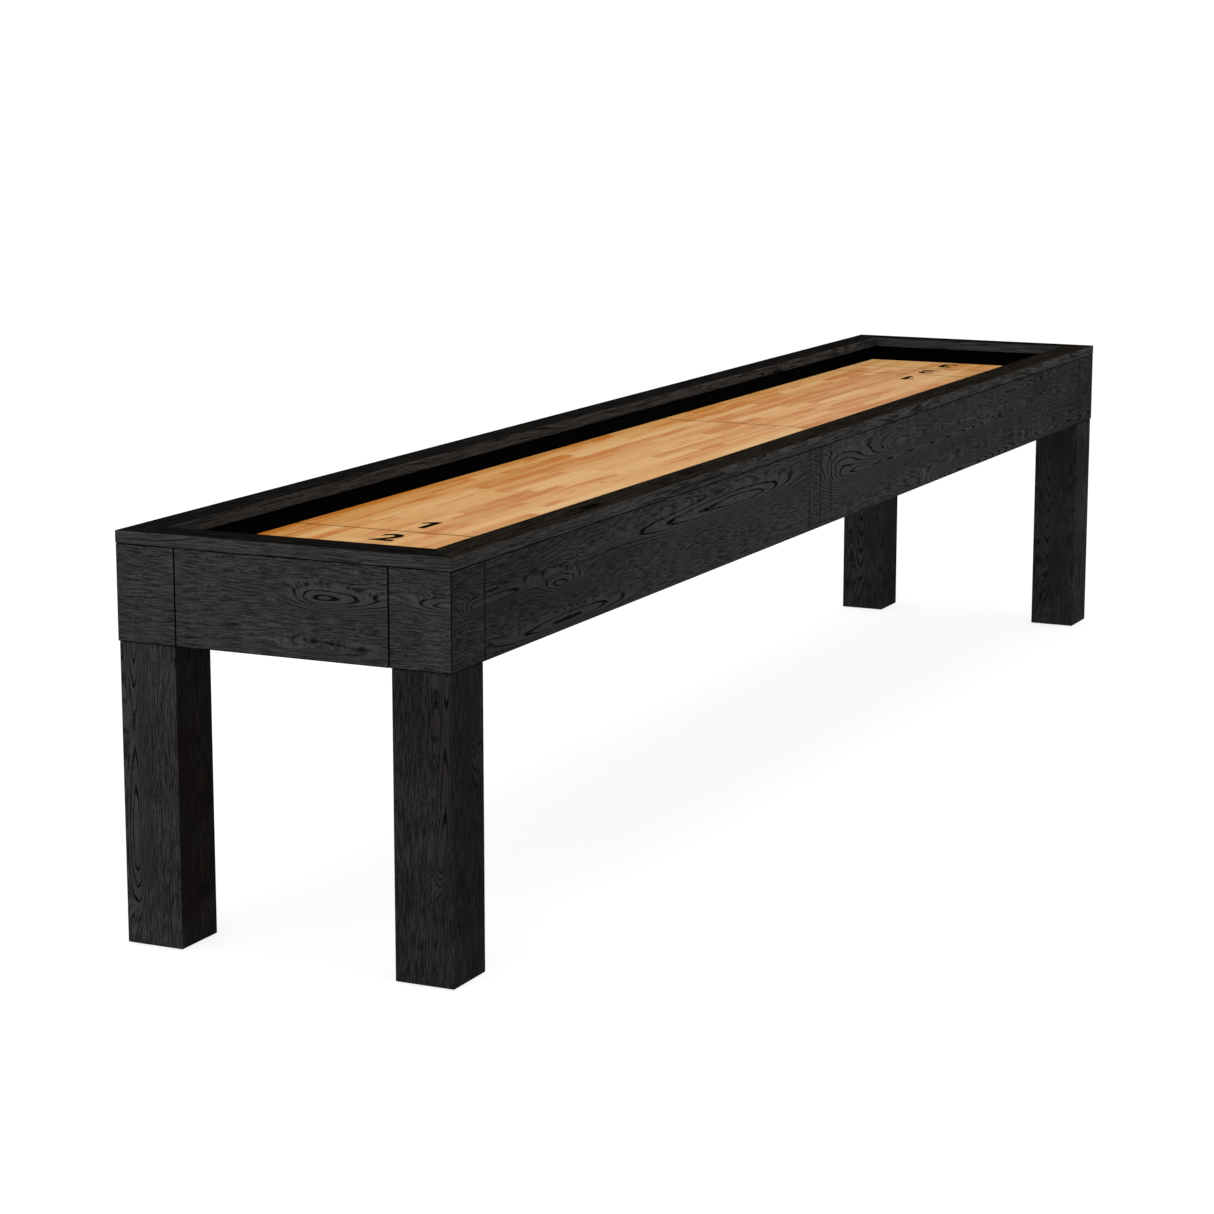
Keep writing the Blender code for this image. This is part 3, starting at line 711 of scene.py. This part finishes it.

# ---- top rail -----------------------------------------------------------------------------
# A flat oak rail caps the cabinet, mitred at the corners and butted over the seam. Its top is
# darker and browner than its edges, whose grain is open, and is painted lighter on the right-hand
# side than on the left as painted light. The inner edges are painted paler as painted light, and
# the side rails' edges darker towards the near end as painted shade.
# the tops' colour on the end rails and on each side, the sides set apart by painted light
TOP_TONE_AND_LIGHT = {None: card(34, 31, 29), "left": card(38, 35, 32), "right": card(50, 44, 38)}
# the inner edges' painted light: a paler, cooler colour where less light falls on them
INNER_EDGE_PAINTED_LIGHT = card(76, 78, 80)
INNER_SIDE = 0.04  # an upright face further in than this is a rail's inner edge
TOP_PORES, TOP_STAIN = 1.5, 1.25
RAIL_HEART_HALF, RAIL_HEART_LIFT = 0.014, 0.010
STRAIGHT = 0.42  # the rails' oak is straighter in the grain, with pores that much longer
KNOT = Vector((-1.30, -0.318, 0.0))
KNOT_REACH = (22.0, 75.0)  # one over half its length and half its width
for end in ENDS:
    for node in (f"end_rail_{end}", f"side_rail_{end}_left", f"side_rail_{end}_right"):
        low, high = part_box(node)
        finish, shader, where, faces = new_finish(f"oak_{node}", 0.6, 0.0)
        x, y, z = where
        chance = random.Random(node)
        lengthwise, across = (y, x) if node.startswith("end") else (x, y)
        span = (low.y, high.y) if node.startswith("end") else (low.x, high.x)
        count = 1 if node.startswith("end") else 3
        hearts = [(place * STRAIGHT, *reach, RAIL_HEART_HALF, RAIL_HEART_LIFT)
                  for place, *reach, half, lift
                  in chance_hearts(chance, *span, low.z, high.z, count)]
        dark = oak(lengthwise * STRAIGHT, z, across, hearts, chance.uniform(0.0, 50.0))
        top_face = faces[2].above(0.8)
        if node == "side_rail_near_right":
            knot_x, knot_y = (x - KNOT.x) * KNOT_REACH[0], (y - KNOT.y) * KNOT_REACH[1]
            knot = knot_x * knot_x + knot_y * knot_y
            dark = dark.most((1.0 - knot).step(0.0, 0.5) * top_face)
        # painted light: the rails' inner edges are painted paler
        painted_light_inner_edges = (1.0 - top_face) * (half_length - INNER_SIDE - abs(x)).above(0.0)
        painted_light_inner_edges = painted_light_inner_edges * (half_width - INNER_SIDE - abs(y)).above(0.0)
        side = next((side for side in SIDES if node.endswith(side)), None)
        # painted shade: the side rails' edges are painted darker towards the near end
        edge_stain_and_shade = (x * -0.18).most(0.0) - 0.08 if side else 0.12
        stain(shader, dark * top_face.pick(1.0, TOP_PORES), top_face.pick(edge_stain_and_shade, TOP_STAIN),
              where, painted_light_inner_edges.paint(CHARCOAL, INNER_EDGE_PAINTED_LIGHT), TOP_TONE_AND_LIGHT[side])
        coat(node, finish)

# ---- the room -----------------------------------------------------------------------------
# A plain white floor in soft, even studio light, a little stronger from the near end, and the
# camera low at the near right-hand corner.
bm = bmesh.new()
bmesh.ops.create_grid(bm, x_segments=1, y_segments=1, size=3000.0)
mesh = bpy.data.meshes.new("floor")
bm.to_mesh(mesh)
bm.free()
floor = bpy.data.objects.new("floor", mesh)
bpy.context.scene.collection.objects.link(floor)
white, shader, (x, y, z), faces = new_finish("white_floor", 0.9, 0.0)
shader.inputs["Base Color"].default_value = (0.36, 0.36, 0.36, 1.0)
shader.inputs["Emission Color"].default_value = (1.0, 1.0, 1.0, 1.0)
shader.inputs["Emission Strength"].default_value = 0.84
mesh.materials.append(white)

world = bpy.data.worlds.new("studio")
bpy.context.scene.world = world
world.use_nodes = True
sky = Wire(world.node_tree)
height = sky.node("TexCoord", out="Generated").split()[2]
backdrop = height.step(0.02, 0.30).paint([1.05, 1.05, 1.05, 1.0], [0.52, 0.52, 0.52, 1.0])
feed(world.node_tree.nodes["Background"], "Color", backdrop)


def softbox(name, spot, target, width, height, watts):
    """A large soft lamp that looks at a point."""
    lamp = bpy.data.lights.new(name, "AREA")
    lamp.shape = "RECTANGLE"
    lamp.size, lamp.size_y, lamp.energy = width, height, watts
    made = bpy.data.objects.new(name, lamp)
    made.location = spot
    made.rotation_euler = (Vector(target) - Vector(spot)).to_track_quat("-Z", "Y").to_euler()
    bpy.context.scene.collection.objects.link(made)


softbox("near_softbox", (-7.0, 1.5, 3.2), (0.0, 0.0, 0.6), 4.0, 3.0, 90.0)
softbox("top_softbox", (0.0, 0.0, 4.5), (0.0, 0.0, 0.7), 5.0, 3.0, 60.0)

camera = bpy.data.cameras.new("camera")
camera.sensor_width = 36.0
camera.lens = 93.753
view = bpy.data.objects.new("camera", camera)
view.location = (-6.7222, -2.9217, 1.7441)
view.rotation_euler = [math.radians(turn) for turn in (79.161, -0.007, -64.672)]
bpy.context.scene.collection.objects.link(view)
bpy.context.scene.camera = view
bpy.context.scene.view_settings.view_transform = "Standard"
